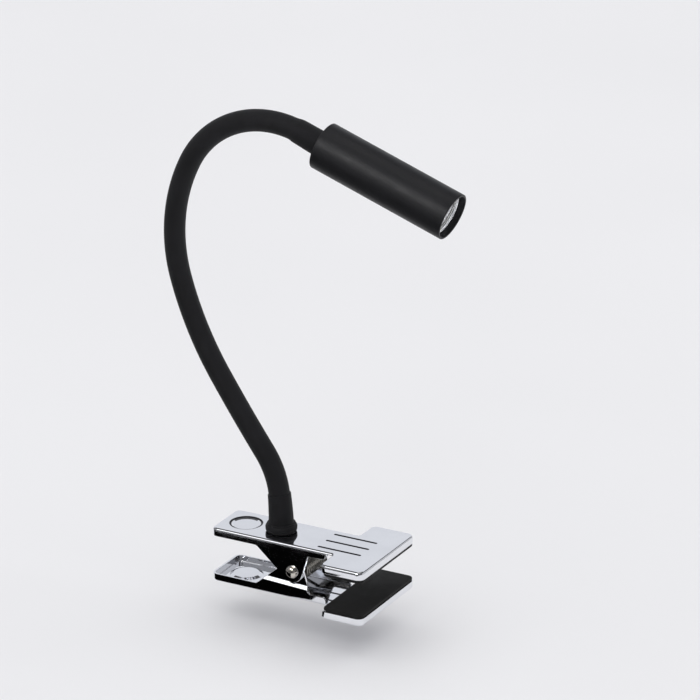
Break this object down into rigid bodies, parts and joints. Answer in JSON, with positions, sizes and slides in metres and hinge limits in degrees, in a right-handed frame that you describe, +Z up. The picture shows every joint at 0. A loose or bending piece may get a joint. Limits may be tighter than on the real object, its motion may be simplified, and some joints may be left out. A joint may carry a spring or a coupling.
{
  "type": "clip on reading lamp",
  "caption": "Clip-on reading lamp with a sprung chrome table clamp, a flexible black sleeved neck and a slim black cylindrical LED head.",
  "frame": {"origin": "centre of the upper jaw pad's underside, where the clamp rests on the board", "axes": "+Z up, +X the way the jaws open, over the board; the lamp is symmetric about the XZ plane"},
  "size_m": [0.1798, 0.062, 0.2732],
  "materials": {
    "chrome_plate": "polished",
    "jaw_rubber": "matte",
    "boot_rubber": "matte",
    "nickel_steel": "polished",
    "spring_steel": "satin",
    "brass": "satin",
    "zinc_steel": "satin",
    "black_plastic": "matte",
    "sleeve_silicone": "matte",
    "lead_plastic": "gloss",
    "black_aluminium": "fine matte texture",
    "aluminium": "satin",
    "board_white": "matte",
    "led_phosphor": "gloss",
    "reflector_mirror": "mirror",
    "lens_clear": "clear"
  },
  "bodies": {
    "clamp": {"upper_plate": "chrome_plate", "upper_pad": "jaw_rubber", "pivot_pin": "nickel_steel", "pivot_cap": "nickel_steel", "torsion_spring": "spring_steel", "mounting_stud": "brass", "collar_nut": "zinc_steel", "lock_washer": "zinc_steel", "hex_nut": "zinc_steel", "cable_bush": "black_plastic", "neck_boot": "boot_rubber", "sleeve_base": "sleeve_silicone", "core_base": "zinc_steel", "lead_base": "lead_plastic"},
    "lower_jaw": {"lower_plate": "chrome_plate", "lower_pad": "jaw_rubber"},
    "neck_1": {"sleeve_1": "sleeve_silicone", "core_1": "zinc_steel", "lead_1": "lead_plastic"},
    "neck_2": {"sleeve_2": "sleeve_silicone", "core_2": "zinc_steel", "lead_2": "lead_plastic"},
    "neck_3": {"sleeve_3": "sleeve_silicone", "core_3": "zinc_steel", "lead_3": "lead_plastic"},
    "neck_4": {"sleeve_4": "sleeve_silicone", "core_4": "zinc_steel", "lead_4": "lead_plastic"},
    "neck_5": {"sleeve_5": "sleeve_silicone", "core_5": "zinc_steel", "lead_5": "lead_plastic"},
    "neck_6": {"sleeve_6": "sleeve_silicone", "core_6": "zinc_steel", "lead_6": "lead_plastic"},
    "neck_7": {"sleeve_7": "sleeve_silicone", "core_7": "zinc_steel", "lead_7": "lead_plastic"},
    "head": {"sleeve_top": "sleeve_silicone", "core_top": "zinc_steel", "lead_top": "lead_plastic", "end_ferrule": "brass", "head_housing": "black_aluminium", "head_entry_tube": "brass", "head_nut": "zinc_steel", "heat_sink": "aluminium", "led_board": "board_white", "led_chip": "led_phosphor", "reflector": "reflector_mirror", "lens": "lens_clear", "retaining_ring": "aluminium"}
  },
  "joints": [
    {"name": "jaw_pivot", "type": "hinge", "parent": "clamp", "child": "lower_jaw", "pos_m": [-0.0388, 0, -0.00935], "axis": [0, 1, 0], "range_deg": [-20, 22], "stiffness_Nm_per_rad": 1.2, "springref_deg": -68.75, "deforming": ["torsion_spring"]},
    {"name": "neck_sway_1", "type": "hinge", "parent": "clamp", "child": "neck_1", "pos_m": [-0.05715, 0, 0.03828], "axis": [0.9473, 0, 0.3205], "range_deg": [-35, 35]},
    {"name": "neck_nod_1", "type": "hinge", "parent": "neck_1", "child": "neck_2", "pos_m": [-0.07673, 0, 0.06951], "axis": [0, 1, 0], "range_deg": [-35, 35]},
    {"name": "neck_sway_2", "type": "hinge", "parent": "neck_2", "child": "neck_3", "pos_m": [-0.09699, 0, 0.10046], "axis": [0.8654, 0, 0.501], "range_deg": [-35, 35]},
    {"name": "neck_nod_2", "type": "hinge", "parent": "neck_3", "child": "neck_4", "pos_m": [-0.1124, 0, 0.13404], "axis": [0, 1, 0], "range_deg": [-35, 35]},
    {"name": "neck_sway_3", "type": "hinge", "parent": "neck_4", "child": "neck_5", "pos_m": [-0.11921, 0, 0.1702], "axis": [1, 0, -0.0095], "range_deg": [-35, 35]},
    {"name": "neck_nod_3", "type": "hinge", "parent": "neck_5", "child": "neck_6", "pos_m": [-0.11156, 0, 0.20615], "axis": [0, 1, 0], "range_deg": [-35, 20]},
    {"name": "neck_sway_4", "type": "hinge", "parent": "neck_6", "child": "neck_7", "pos_m": [-0.08818, 0, 0.23401], "axis": [0.5188, 0, -0.8549], "range_deg": [-35, 35]},
    {"name": "neck_nod_4", "type": "hinge", "parent": "neck_7", "child": "head", "pos_m": [-0.05269, 0, 0.24175], "axis": [0, 1, 0], "range_deg": [-35, 20]}
  ]
}
